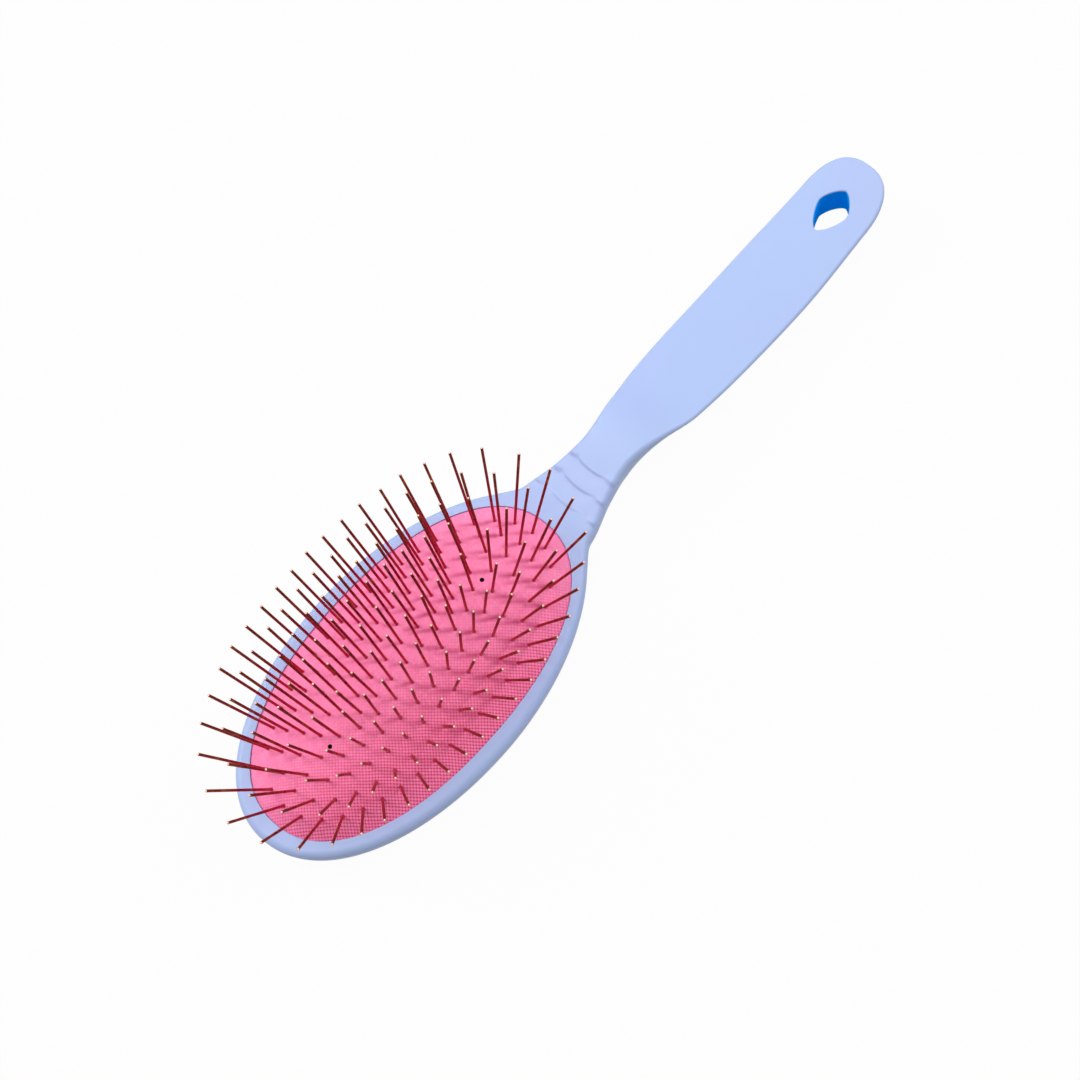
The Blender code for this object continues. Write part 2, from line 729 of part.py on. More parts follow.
def build_centre_row(collection, cutters, materials):
    """The straight row of pins on the long axis, on the inmost slice of the face."""
    inmost = ring_half_width(-1) * ROW_STRIP_WIDTH_SHARE - CLEARANCE / 2
    top = level_points(inmost, even_shares(CUSHION_SIDES // 2))
    bottom = [point - Vector((0, 0, FACE_THICKNESS)) for point in top]
    height = top[0].z
    pitch = 2 * ROW_HALF_LENGTH / (ROW_PINS - 1)
    feet = []
    for i in range(ROW_PINS):
        x = -ROW_HALF_LENGTH + pitch * i
        feet.append((Vector((x, 0, height)), Vector((x, 0, ROW_FAN_RADIUS)).normalized()))
    build_pin_slice("centre_row_pins", loft([bottom, top]), feet, [], collection, cutters, materials)


def main():
    clear_scene()
    collection = make_collection(COLLECTION_NAME)
    cutters = make_collection(CUTTER_COLLECTION_NAME)
    body_plastic = make_material("body_plastic", BODY_COLOUR, BODY_ROUGHNESS)
    cushion_rubber = make_material("cushion_rubber", CUSHION_COLOUR, CUSHION_ROUGHNESS)
    materials = {
        "face": make_material("woven_face", FACE_COLOUR, FACE_ROUGHNESS),
        "pins": make_material("pin_metal", PIN_COLOUR, PIN_ROUGHNESS, metallic=1),
    }
    build_body(collection, cutters, body_plastic)
    vents = build_vent_cutters(cutters)
    build_cushion(collection, vents, cushion_rubber)
    build_centre_row(collection, cutters, materials)
    for ring in range(len(RING_WIDTH_SHARES)):
        build_ring(ring, vents, collection, cutters, materials)


main()
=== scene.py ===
"""
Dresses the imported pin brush: the moulded body, the woven crown of the air cushion with its rubber
skirt, and the wire pins, under plain studio light.
"""
import math
import random

import bmesh
import bpy
import numpy as np
from mathutils import Matrix, Vector
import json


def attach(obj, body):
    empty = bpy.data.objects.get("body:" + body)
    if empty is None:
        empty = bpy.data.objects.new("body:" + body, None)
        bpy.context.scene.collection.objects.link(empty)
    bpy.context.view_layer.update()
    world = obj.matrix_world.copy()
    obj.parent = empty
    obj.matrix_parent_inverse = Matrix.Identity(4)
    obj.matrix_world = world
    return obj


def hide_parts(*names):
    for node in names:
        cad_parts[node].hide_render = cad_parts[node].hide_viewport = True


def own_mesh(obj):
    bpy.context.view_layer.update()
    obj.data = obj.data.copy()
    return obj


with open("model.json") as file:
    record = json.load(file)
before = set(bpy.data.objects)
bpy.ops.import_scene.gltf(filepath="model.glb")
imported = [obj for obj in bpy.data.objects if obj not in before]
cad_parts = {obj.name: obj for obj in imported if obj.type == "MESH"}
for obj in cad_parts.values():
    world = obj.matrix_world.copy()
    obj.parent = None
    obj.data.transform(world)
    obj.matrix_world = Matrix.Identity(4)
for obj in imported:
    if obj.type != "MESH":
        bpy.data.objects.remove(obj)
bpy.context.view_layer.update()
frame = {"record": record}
MM = 0.001


# Body: head, neck and grip are one injection moulding in a pale periwinkle plastic. The mould gives
# it a satin skin, a flat front with a small round edge, three thumb ribs across the neck, the
# pocket that the cushion snaps into, and a hanging hole with eased edges.
PAD_HALF_LENGTH = 53.4 * MM
PAD_HALF_WIDTH = 28.4 * MM
PAD_SQUARENESS = 2.2
HEAD_DEPTH = 15.0 * MM
HEAD_FLOOR = 4.5 * MM
CLEARANCE = 0.3 * MM
RIM_WIDTH_SIDE = 4.8 * MM
RIM_WIDTH_TOE = 5.6 * MM
RIM_WIDTH_HEEL = 6.0 * MM
RIM_EDGE_ROUND = 0.18 * MM
TOE_SQUARENESS = 2.09
HEEL_SQUARENESS = 1.95
SKIRT_FOOT = 9.45 * MM
SKIRT_BEAD_TOP = 11.35 * MM
BEAD_REACH = 1.0 * MM
NECK_X = PAD_HALF_LENGTH + 25.6 * MM
CREST_X = PAD_HALF_LENGTH + 32.5 * MM
GRIP_START_X = PAD_HALF_LENGTH + 50.0 * MM
GRIP_X = PAD_HALF_LENGTH + 93.0 * MM
TAIL_X = PAD_HALF_LENGTH + 121.0 * MM
END_X = PAD_HALF_LENGTH + 137.4 * MM
TAIL_HALF_WIDTH = 11.7 * MM
TAIL_SQUARENESS = 2.45
NECK_BLEND = 6
TOE_SPINE_SHARE = 0.55
TAIL_SPINE_SHARE = 0.3
FRONT_ROUND_SHARE = 0.34
BACK_ROUND = 14.0 * MM
BACK_ROUND_SHARE = 0.5
GRIP_FLANK_LEAN = 0.36
FRONT_CROWN = 0.5 * MM
RIB_FIRST_X = PAD_HALF_LENGTH + 7.0 * MM
RIB_PITCH = 5.65 * MM
RIB_STEP = 0.8 * MM
RIB_RAMP = 4.3 * MM
RIB_BOW = 1.4 * MM
RIB_BOW_REACH = 7.0 * MM
RIB_DEPTH = 0.38 * MM
RIB_EDGE_SHARE = 0.3
RIB_FADE_START = 5.4 * MM
RIB_FADE_LENGTH = 2.6 * MM
RIB_FEET = [RIB_FIRST_X + RIB_PITCH * i for i in range(3)]
NUB_RISE = 0.75 * MM
NUB_SPREAD_HEAD_SIDE = 0.75 * MM
NUB_SPREAD_GRIP_SIDE = 1.1 * MM
NUB_ANGLE = 1.3
NUB_ANGLE_SPREAD = 0.5
NUB_FRONT_SHARE = 0.75
NUB_FRONT_SPREAD = 1.1 * MM
BACK_STEPS = 5
FLANK_STEPS = 14
EDGE_STEPS = 10
FRONT_STEPS = 20
TOE_STATIONS = 48
HEAD_STATIONS = 44
RIB_STATIONS = 140
RIB_STATION_STEP = 0.15 * MM
GRIP_STATIONS = 84
TAIL_STATIONS = 32
POCKET_SIDES = 256
HOLE_X = PAD_HALF_LENGTH + 121.8 * MM
HOLE_NECK_REACH = 7.9 * MM
HOLE_END_REACH = 5.8 * MM
HOLE_HALF_WIDTH = 4.75 * MM
HOLE_SQUARENESS = 1.45
HOLE_ROUND = 0.4 * MM
HOLE_FRONT_CROWN = 0.45 * MM
HOLE_SIDES = 96
HOLE_WALL_TILT = 0.05
EASE_STEPS = 6
OVAL_STEPS = 720
OVERRUN = 3.0 * MM
WELD = 0.01 * MM
FINE_WELD = 0.002 * MM


def smooth_through(points, x):
    """Height at x of a smooth curve through the points, which never overshoots them."""
    if x <= points[0][0]:
        return points[0][1]
    if x >= points[-1][0]:
        return points[-1][1]
    steps = [(b[1] - a[1]) / (b[0] - a[0]) for a, b in zip(points, points[1:])]
    slopes = [steps[0]]
    for before, after in zip(steps, steps[1:]):
        slopes.append(2 * before * after / (before + after) if before * after > 0 else 0)
    slopes.append(steps[-1])
    for i, (left, right) in enumerate(zip(points, points[1:])):
        if x <= right[0]:
            run = right[0] - left[0]
            u = (x - left[0]) / run
            return (left[1] * (1 + 2 * u) * (1 - u) ** 2 + slopes[i] * run * u * (1 - u) ** 2
                    + right[1] * u * u * (3 - 2 * u) + slopes[i + 1] * run * u * u * (u - 1))


def head_half_width(x, reach, squareness):
    share = min(abs(x) / reach, 1)
    return (PAD_HALF_WIDTH + RIM_WIDTH_SIDE) * (1 - share ** squareness) ** (1 / squareness)


def body_half_width(x):
    """Outline seen from the front: oval head, waisted neck, swelling grip and round tail."""
    heel = PAD_HALF_LENGTH
    if x <= 0:
        return head_half_width(x, heel + RIM_WIDTH_TOE, TOE_SQUARENESS)
    if x >= TAIL_X:
        share = min((x - TAIL_X) / (END_X - TAIL_X), 1)
        return TAIL_HALF_WIDTH * (1 - share ** TAIL_SQUARENESS) ** (1 / TAIL_SQUARENESS)
    neck = smooth_through(((heel - 5.4 * MM, 13.2 * MM), (heel + 5.4 * MM, 11.95 * MM),
                           (heel + 17.0 * MM, 8.8 * MM), (NECK_X, 7.55 * MM),
                           (heel + 38.0 * MM, 9.25 * MM), (GRIP_START_X, 11.4 * MM),
                           (heel + 68.0 * MM, 12.3 * MM), (GRIP_X, 12.6 * MM),
                           (TAIL_X, TAIL_HALF_WIDTH)), x)
    neck *= min(x / heel, 1)
    head = head_half_width(x, heel + RIM_WIDTH_HEEL, HEEL_SQUARENESS)
    return (head ** NECK_BLEND + neck ** NECK_BLEND) ** (1 / NECK_BLEND)


def front_height(x):
    """Front face seen from the side: level head, arched neck, sagging grip, lifted tail."""
    return smooth_through(((PAD_HALF_LENGTH + 9.0 * MM, HEAD_DEPTH), (CREST_X, 19.85 * MM),
                           (GRIP_START_X, HEAD_DEPTH), (GRIP_X, 11.9 * MM), (TAIL_X, 13.8 * MM),
                           (END_X, 17.6 * MM)), x)


def back_height(x):
    """Back seen from the side: flat under the head, arched at the crest, low under the grip."""
    return smooth_through(((PAD_HALF_LENGTH - 3.0 * MM, 0), (CREST_X, 6.55 * MM),
                           (GRIP_X, 1.5 * MM), (TAIL_X, 3.4 * MM), (END_X, 8.2 * MM)), x)


def front_round_at(x):
    """Round of the front edge: soft round the head, and small on the grip."""
    return smooth_through(((0, 2.3 * MM), (PAD_HALF_LENGTH + 5.4 * MM, 2.1 * MM),
                           (CREST_X, 1.6 * MM), (GRIP_START_X, 1.0 * MM)), x)


def flank_lean_at(x):
    """The grip's flanks lean in towards the back by a share of its depth."""
    return smooth_through(((NECK_X, 0), (GRIP_START_X, GRIP_FLANK_LEAN)), x)


def spine_x(x):
    """The sections fan out from the long axis at the toe and at the tail."""
    if x < 0:
        return x * TOE_SPINE_SHARE
    return x if x < TAIL_X else TAIL_X + (x - TAIL_X) * TAIL_SPINE_SHARE


def rib_depth(x, y):
    """Each thumb rib bows towards the handle; it drops in a short step and then ramps up again."""
    for foot in RIB_FEET:
        past = x - foot - RIB_BOW * min(abs(y) / RIB_BOW_REACH, 1) ** 2
        share = 1 - past / RIB_STEP if past > 0 else 1 + past / RIB_RAMP
        if 0 < share <= 1:
            return RIB_DEPTH * share ** 2 * (3 - 2 * share)
    return 0


def nub_height(x):
    """Each rib ends in a small nub on the shoulder, steeper on the side of the head."""
    height = 0
    for foot in RIB_FEET:
        past = x - foot - RIB_BOW
        spread = NUB_SPREAD_HEAD_SIDE if past < 0 else NUB_SPREAD_GRIP_SIDE
        height += NUB_RISE * math.exp(-(past / spread) ** 2)
    return height


def body_section(x):
    """Half section: from the back's middle out, up the flank, over the edge and in again."""
    start = Vector((spine_x(x), 0))
    rim = Vector((x, body_half_width(x)))
    reach = (rim - start).length
    along = (rim - start) / reach
    nub = nub_height(x)
    edge_step = rib_depth(x, rim.y) * RIB_EDGE_SHARE
    front_round = min(front_round_at(x), reach * FRONT_ROUND_SHARE)
    back_round = 1 / math.hypot(1 / BACK_ROUND, 1 / (reach * BACK_ROUND_SHARE))
    crown = FRONT_CROWN * min(max(x - PAD_HALF_LENGTH, 0) / (CREST_X - PAD_HALF_LENGTH), 1)
    flat = reach - front_round
    lean = flank_lean_at(x) * (front_height(x) - front_round - back_height(x))
    # Each step is a distance from the spine, a share of the way up the flank, and a lift above that
    steps = [((reach - back_round - lean) * i / BACK_STEPS, 0, 0) for i in range(BACK_STEPS)]
    for i in range(FLANK_STEPS + 1):
        angle = math.pi / 2 * i / FLANK_STEPS
        steps.append((reach - back_round * (1 - math.sin(angle)) - lean * math.cos(angle),
                      1 - math.cos(angle), 0))
    for i in range(1, EDGE_STEPS + 1):
        angle = math.pi / 2 * i / EDGE_STEPS
        swell = front_round + nub * math.exp(-((angle - NUB_ANGLE) / NUB_ANGLE_SPREAD) ** 2)
        steps.append((reach - front_round + swell * math.cos(angle), 1, swell * math.sin(angle)))
    for i in range(1, FRONT_STEPS + 1):
        away = 1 - i / FRONT_STEPS
        share = min(max((RIB_FADE_START - flat * away) / RIB_FADE_LENGTH, 0), 1)
        share = RIB_EDGE_SHARE + (1 - RIB_EDGE_SHARE) * share ** 2 * (3 - 2 * share)
        dip = rib_depth(x, flat * away) * share - edge_step
        fade = NUB_FRONT_SHARE * nub * math.exp(-(flat * (1 - away) / NUB_FRONT_SPREAD) ** 2)
        steps.append((flat * away, 1, front_round + crown * (1 - away ** 2) - dip + fade))
    section = []
    for distance, share_up, lift in steps:
        spot = start + along * distance
        widest = front_height(spot.x) - edge_step - front_round
        back = back_height(spot.x)
        section.append(Vector((spot.x, spot.y, back + (widest - back) * share_up + lift)))
    return section


def body_stations():
    """Places of the sections along the brush, close together at both ends and over the ribs."""
    toe = PAD_HALF_LENGTH + RIM_WIDTH_TOE
    stations = []
    for i in range(TOE_STATIONS):
        share = max(math.cos(math.pi / 2 * i / TOE_STATIONS), 0) ** (2 / TOE_SQUARENESS)
        stations.append(-toe * share)
    first = RIB_FEET[0] - RIB_RAMP
    stations += [first * i / HEAD_STATIONS for i in range(HEAD_STATIONS)]
    stations += [first + RIB_STATION_STEP * i for i in range(RIB_STATIONS)]
    first += RIB_STATION_STEP * RIB_STATIONS
    stations += [first + (TAIL_X - first) * i / GRIP_STATIONS for i in range(GRIP_STATIONS)]
    for i in range(TAIL_STATIONS + 1):
        share = math.sin(math.pi / 2 * i / TAIL_STATIONS) ** (2 / TAIL_SQUARENESS)
        stations.append(TAIL_X + (END_X - TAIL_X) * share)
    return stations


def placed_grid(columns, rows, place):
    """A bmesh grid whose point at (column, row) stands at place(column, row)."""
    bm = bmesh.new()
    bmesh.ops.create_grid(bm, x_segments=columns, y_segments=rows, size=1)
    for vert in bm.verts:
        column = round((vert.co.x + 1) / 2 * columns)
        row = round((vert.co.y + 1) / 2 * rows)
        vert.co = place(column, row)
    return bm


def drawn_through(loops):
    """A closed skin: a circle set on the first loop, then drawn on from loop to loop and capped."""
    bm = bmesh.new()
    order = bm.verts.layers.int.new("order")
    ring = bmesh.ops.create_circle(bm, cap_ends=True, segments=len(loops[0]), radius=1)["verts"]
    for i, vert in enumerate(ring):
        vert[order] = i
        vert.co = loops[0][i]
    edges = list(bm.edges)
    for loop in loops[1:]:
        drawn = bmesh.ops.extrude_edge_only(bm, edges=edges)["geom"]
        edges = [item for item in drawn if isinstance(item, bmesh.types.BMEdge)]
        edges = [edge for edge in edges if len(edge.link_faces) == 1]
        for vert in {vert for edge in edges for vert in edge.verts}:
            vert.co = loop[vert[order]]
    bmesh.ops.edgeloop_fill(bm, edges=edges)
    bmesh.ops.recalc_face_normals(bm, faces=bm.faces)
    return bm


def piece_from(bm, name, *materials):
    mesh = bpy.data.meshes.new(name)
    bm.to_mesh(mesh)
    bm.free()
    for material in materials:
        mesh.materials.append(material)
    piece = bpy.data.objects.new(name, mesh)
    bpy.context.scene.collection.objects.link(piece)
    return piece


def carve(piece, cutters):
    """Cuts the cutters out of the piece, and keeps only the result."""
    for cutter in cutters:
        cut = piece.modifiers.new(cutter.name, "BOOLEAN")
        cut.object = cutter
        cut.operation = "DIFFERENCE"
        cut.solver = "EXACT"
        cut.material_mode = "TRANSFER"
    whole = piece.evaluated_get(bpy.context.evaluated_depsgraph_get())
    mesh = bpy.data.meshes.new_from_object(whole)
    mesh.name = piece.name
    piece.modifiers.clear()
    piece.data = mesh
    for cutter in cutters:
        bpy.data.objects.remove(cutter)


def oval_table(half_length, half_width, squareness):
    """A quarter of an oval from its heel end: distance run, x and y."""
    angle = np.linspace(0, math.pi / 2, OVAL_STEPS + 1)
    x = half_length * np.maximum(np.cos(angle), 0) ** (2 / squareness)
    y = half_width * np.sin(angle) ** (2 / squareness)
    run = np.concatenate(([0], np.cumsum(np.hypot(np.diff(x), np.diff(y)))))
    return run, x, y


def oval_points(half_length, half_width, squareness, shares):
    """Points at the given shares of the way round an oval, from its heel end."""
    run, x, y = oval_table(half_length, half_width, squareness)
    quarters = np.mod(np.asarray(shares, float), 1) * 4
    index = quarters.astype(int)
    part = quarters - index
    along = run[-1] * np.where(index % 2 == 1, 1 - part, part)
    px = np.interp(along, run, x) * np.where((index == 1) | (index == 2), -1, 1)
    py = np.interp(along, run, y) * np.where(index >= 2, -1, 1)
    return list(zip(px.tolist(), py.tolist()))


def pocket_loop(offset, height):
    points = oval_points(PAD_HALF_LENGTH + offset, PAD_HALF_WIDTH + offset, PAD_SQUARENESS,
                         [i / POCKET_SIDES for i in range(POCKET_SIDES)])
    return [Vector((x, y, height)) for x, y in points]


def hole_loop(growth, face_height, lift):
    """The hanging hole is a rounded kite, long towards the neck and blunt towards the end."""
    power = 2 / HOLE_SQUARENESS
    points = []
    for i in range(HOLE_SIDES):
        side = math.cos(math.tau * i / HOLE_SIDES)
        across = math.sin(math.tau * i / HOLE_SIDES)
        reach = HOLE_END_REACH if side > 0 else HOLE_NECK_REACH
        x = HOLE_X + (reach + growth) * math.copysign(abs(side) ** power, side)
        y = (HOLE_HALF_WIDTH + growth) * math.copysign(abs(across) ** power, across)
        points.append(Vector((x, y, face_height(x) + lift)))
    return points


def eased(radius, side):
    """Steps of a quarter round: how far out, and how far up or down."""
    angles = [math.pi / 2 * i / EASE_STEPS for i in range(1, EASE_STEPS + 1)]
    return [(radius * (1 - math.cos(angle)), side * radius * math.sin(angle)) for angle in angles]


stations = body_stations()
sections = [body_section(x) for x in stations]
bm = placed_grid(len(stations) - 1, len(sections[0]) - 1, lambda i, j: sections[i][j].copy())
bmesh.ops.mirror(bm, geom=bm.verts[:] + bm.edges[:] + bm.faces[:], axis="Y", merge_dist=WELD)
bmesh.ops.remove_doubles(bm, verts=bm.verts, dist=WELD)
bmesh.ops.dissolve_degenerate(bm, edges=bm.edges, dist=FINE_WELD)
bmesh.ops.recalc_face_normals(bm, faces=bm.faces)
periwinkle = bpy.data.materials.new("periwinkle_plastic")
# A deeper blue copy of the plastic: painted shade for the wall of the hanging hole
periwinkle_painted_shade = bpy.data.materials.new("periwinkle_plastic_painted_shade")
body = piece_from(bm, "brush_body", periwinkle, periwinkle_painted_shade)

rim_start = HEAD_DEPTH - RIM_EDGE_ROUND
pocket = [(CLEARANCE, HEAD_FLOOR), (CLEARANCE, SKIRT_FOOT - CLEARANCE - BEAD_REACH),
          (BEAD_REACH + CLEARANCE * 2, SKIRT_FOOT - CLEARANCE),
          (BEAD_REACH + CLEARANCE * 2, SKIRT_BEAD_TOP + CLEARANCE),
          (CLEARANCE, SKIRT_BEAD_TOP + CLEARANCE + BEAD_REACH),
          (CLEARANCE, rim_start)]
pocket += [(CLEARANCE + out, rim_start + up) for out, up in eased(RIM_EDGE_ROUND, 1)]
pocket.append((CLEARANCE + RIM_EDGE_ROUND, HEAD_DEPTH + OVERRUN))
bm = drawn_through([pocket_loop(offset, height) for offset, height in pocket])
pocket_cutter = piece_from(bm, "pocket_cutter", periwinkle)

front_start = HOLE_FRONT_CROWN - HOLE_ROUND
wall = [hole_loop(HOLE_ROUND, back_height, -OVERRUN)]
wall += [hole_loop(out, back_height, HOLE_ROUND + down)
         for out, down in reversed(eased(HOLE_ROUND, -1))]
wall += [hole_loop(0, back_height, HOLE_ROUND), hole_loop(0, front_height, front_start)]
wall += [hole_loop(out, front_height, front_start + up) for out, up in eased(HOLE_ROUND, 1)]
wall.append(hole_loop(HOLE_ROUND, front_height, OVERRUN))
hole_cutter = piece_from(drawn_through(wall), "hole_cutter", periwinkle_painted_shade)
carve(body, [pocket_cutter, hole_cutter])
# The painted shade goes only on the straight wall of the hole, and not on its eased edges
for face in body.data.polygons:
    if abs(face.normal.z) > HOLE_WALL_TILT:
        face.material_index = 0
body.data.shade_smooth()
body.data.set_sharp_from_angle(angle=math.radians(50))
soften = body.modifiers.new("even_normals", "WEIGHTED_NORMAL")
soften.keep_sharp = True


def node(tree, kind, label=None, **sockets):
    """Adds a node, sets its plain inputs and links those that are given another node's output.

    Inputs go by their names, or by i0, i1 and so on where names are shared."""
    made = tree.nodes.new(kind)
    made.label = label or ""
    for name, value in sockets.items():
        numbered = name[0] == "i" and name[1:].isdigit()
        socket = made.inputs[int(name[1:]) if numbered else name]
        if isinstance(value, bpy.types.NodeSocket):
            tree.links.new(value, socket)
        else:
            socket.default_value = value
    return made


def maths(tree, operation, a, b=0.0):
    made = node(tree, "ShaderNodeMath", operation.lower(), i0=a, i1=b)
    made.operation = operation
    return made.outputs[0]


def tint(tree, factor, a, b, blend="MIX"):
    """Colour a turns into colour b with the factor."""
    made = tree.nodes.new("ShaderNodeMix")
    made.data_type = "RGBA"
    made.blend_type = blend
    for socket, value in ((made.inputs[0], factor), (made.inputs[6], a), (made.inputs[7], b)):
        if isinstance(value, bpy.types.NodeSocket):
            tree.links.new(value, socket)
        else:
            socket.default_value = value
    return made.outputs[2]


def stepped(tree, value, low, high):
    """0 below low, 1 above high, smooth between."""
    made = node(tree, "ShaderNodeMapRange", "step", i0=value, i1=low, i2=high)
    made.interpolation_type = "SMOOTHSTEP"
    return made.outputs[0]


def shader_of(material):
    material.use_nodes = True
    return material.node_tree, material.node_tree.nodes["Principled BSDF"]


def new_material(name):
    material = bpy.data.materials.new(name)
    return material, *shader_of(material)


# Skin of a moulded part: broad cloudy tone, fine grain and faint handling marks, all in metres
moulded_skin = bpy.data.node_groups.new("moulded_skin", "ShaderNodeTree")
for name, kind, direction in (("Vector", "NodeSocketVector", "INPUT"),
                              ("Cloud Size", "NodeSocketFloat", "INPUT"),
                              ("Grain Size", "NodeSocketFloat", "INPUT"),
                              ("Clouds", "NodeSocketFloat", "OUTPUT"),
                              ("Grain", "NodeSocketFloat", "OUTPUT"),
                              ("Marks", "NodeSocketFloat", "OUTPUT")):
    moulded_skin.interface.new_socket(name=name, in_out=direction, socket_type=kind)
source = moulded_skin.nodes.new("NodeGroupInput").outputs
result = moulded_skin.nodes.new("NodeGroupOutput").inputs
cloud_scale = maths(moulded_skin, "DIVIDE", 1.0, source["Cloud Size"])
grain_scale = maths(moulded_skin, "DIVIDE", 1.0, source["Grain Size"])
clouds = node(moulded_skin, "ShaderNodeTexNoise", "clouds", Vector=source["Vector"],
              Scale=cloud_scale, Detail=2.0, Roughness=0.5)
grain = node(moulded_skin, "ShaderNodeTexNoise", "grain", Vector=source["Vector"],
             Scale=grain_scale, Detail=2.0, Roughness=0.6)
stretch = node(moulded_skin, "ShaderNodeMapping", "along the handle", Vector=source["Vector"],
               Scale=(0.25, 1.0, 1.0))
marks = node(moulded_skin, "ShaderNodeTexNoise", "handling marks", Vector=stretch.outputs[0],
             Scale=900.0, Detail=3.0, Roughness=0.7)
moulded_skin.links.new(clouds.outputs[0], result["Clouds"])
moulded_skin.links.new(grain.outputs[0], result["Grain"])
moulded_skin.links.new(stepped(moulded_skin, marks.outputs[0], 0.62, 0.75), result["Marks"])


def skin_of(tree, cloud_size, grain_size):
    place = tree.nodes.new("ShaderNodeTexCoord").outputs["Object"]
    made = tree.nodes.new("ShaderNodeGroup")
    made.node_tree = moulded_skin
    tree.links.new(place, made.inputs["Vector"])
    made.inputs["Cloud Size"].default_value = cloud_size
    made.inputs["Grain Size"].default_value = grain_size
    return made.outputs


CLOUD_SIZE = 22 * MM
GRAIN_SIZE = 0.35 * MM
GRAIN_DEPTH = 0.04 * MM
SATIN_ROUGHNESS = 0.44
CLOUD_ROUGHNESS = 0.12
MARK_ROUGHNESS = 0.08

# The wall of the hanging hole gets a deeper blue copy of the plastic as painted shade, since little
# white light gets into it
for plastic, light, dark, gloss in (
        (periwinkle, (0.36, 0.465, 0.745, 1), (0.365, 0.455, 0.745, 1), 0.5),
        (periwinkle_painted_shade, (0.0, 0.46, 1.0, 1), (0.0, 0.42, 0.96, 1), 0.0)):
    tree, shader = shader_of(plastic)
    skin = skin_of(tree, CLOUD_SIZE, GRAIN_SIZE)
    colour = tint(tree, stepped(tree, skin["Clouds"], 0.35, 0.65), light, dark)
    tree.links.new(colour, shader.inputs["Base Color"])
    rough = maths(tree, "ADD", maths(tree, "MULTIPLY", skin["Clouds"], CLOUD_ROUGHNESS),
                  maths(tree, "MULTIPLY", skin["Marks"], MARK_ROUGHNESS))
    tree.links.new(maths(tree, "ADD", rough, SATIN_ROUGHNESS), shader.inputs["Roughness"])
    bump = node(tree, "ShaderNodeBump", "mould grain", Strength=0.12, Distance=GRAIN_DEPTH,
                Height=skin["Grain"])
    tree.links.new(bump.outputs[0], shader.inputs["Normal"])
    shader.inputs["Specular IOR Level"].default_value = gloss
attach(body, "base")
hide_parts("body")


# Cushion crown: hot-pink cloth in plain weave, bonded to the rubber air cushion. It bulges in an
# arc across the brush, turns down over a small shoulder into the gap, puckers and creases where
# the pins go in, and has two air vents on the long axis.
CROWN_RADIUS = 53.5 * MM
PAD_EDGE = 14.65 * MM
RING_LENGTH_SHARES = (0.913, 0.824, 0.728, 0.620, 0.487)
RING_WIDTH_SHARES = (0.803, 0.655, 0.499, 0.340, 0.171)
RING_SQUARENESS = (2.2, 2.2, 2.0, 1.8, 1.75)
RING_PINS = (42, 36, 30, 24, 18)
ROW_HALF_LENGTH = 17.7 * MM
ROW_FAN_RADIUS = 380.0 * MM
ROW_PINS = 7
SECTORS = 6
NEAR_SHARE = 0.0005
NEAR_LEVEL = 0.01 * MM
CROWN_AROUND = 480
CROWN_LEVELS = 96
LEVEL_CROWDING = 0.9
SHOULDER_WIDTH = 28.52 * MM
SHOULDER_ROUND = 0.3 * MM
SHOULDER_STEPS = 7
CROWN_WALL_TOP = 14.0 * MM
CROWN_WALL_FOOT = 13.6 * MM
CROWN_FOOT = 12.9 * MM
CROWN_FOOT_DRAW = 0.5 * MM
VENT_RADIUS = 0.625 * MM
VENT_DEPTH = 6.0 * MM
VENT_SINK = 0.6 * MM
VENT_SIDES = 24
WEAVE_PITCH = 0.785 * MM
WEAVE_TURN = math.radians(47)
YARN_WAVER = 0.7 * MM
YARN_DEPTH = 0.12 * MM
FOLD_TURN = math.radians(43)
FOLD_DEPTH = 0.6 * MM
NEAR_SIDE = (-0.22, -0.975, 0)
GAP_SHADE_START = -3 * MM
GAP_SHADE_FULL = 26 * MM
PUCKER_DEPTH = 0.22 * MM
PUCKER_SPREAD = 0.9 * MM
PUCKER_SHADE_SPREAD = 0.75 * MM
CREASE_ALONG = Vector((-0.777, 0.625))
CREASE_LENGTH = 6.5 * MM
CREASE_DEPTH = 0.5 * MM
CREASE_SPREAD = 0.65 * MM
CREASE_START_SHARE = 1 / 6
CREASE_LENGTH_SPREAD = (0.6, 1.3)
CREASE_BEND_SPREAD = (-0.12, 0.12)
CREASE_STRENGTH_SPREAD = (0.6, 1.0)
CREASE_WEAKEST_X = 0.3
CREASE_WEAKEST_Y = 0.4
CREASE_STRONG_X = 15 * MM
CREASE_WEAK_X = -30 * MM
CREASE_STRONG_Y = 6 * MM
CREASE_WEAK_Y = 28 * MM


def crown_drop(half_width):
    return CROWN_RADIUS - math.sqrt(CROWN_RADIUS ** 2 - half_width ** 2)


def crown_height(half_width):
    return PAD_EDGE + crown_drop(PAD_HALF_WIDTH) - crown_drop(half_width)


def level_points(half_width, shares, height=None):
    """Points of the crown's level curve that has this half width."""
    widths = [PAD_HALF_WIDTH * share for share in RING_WIDTH_SHARES[::-1]]
    lengths = [(0, ROW_HALF_LENGTH)]
    lengths += [(width, PAD_HALF_LENGTH * share)
                for width, share in zip(widths, RING_LENGTH_SHARES[::-1])]
    lengths.append((PAD_HALF_WIDTH, PAD_HALF_LENGTH))
    squareness = list(zip(widths, RING_SQUARENESS[::-1]))
    squareness.append((PAD_HALF_WIDTH, PAD_SQUARENESS))
    beyond = max(half_width - PAD_HALF_WIDTH, 0)
    oval = (smooth_through(lengths, half_width) + beyond, half_width,
            smooth_through(squareness, half_width))
    z = crown_height(half_width) if height is None else height
    return [Vector((x, y, z)) for x, y in oval_points(*oval, shares)]


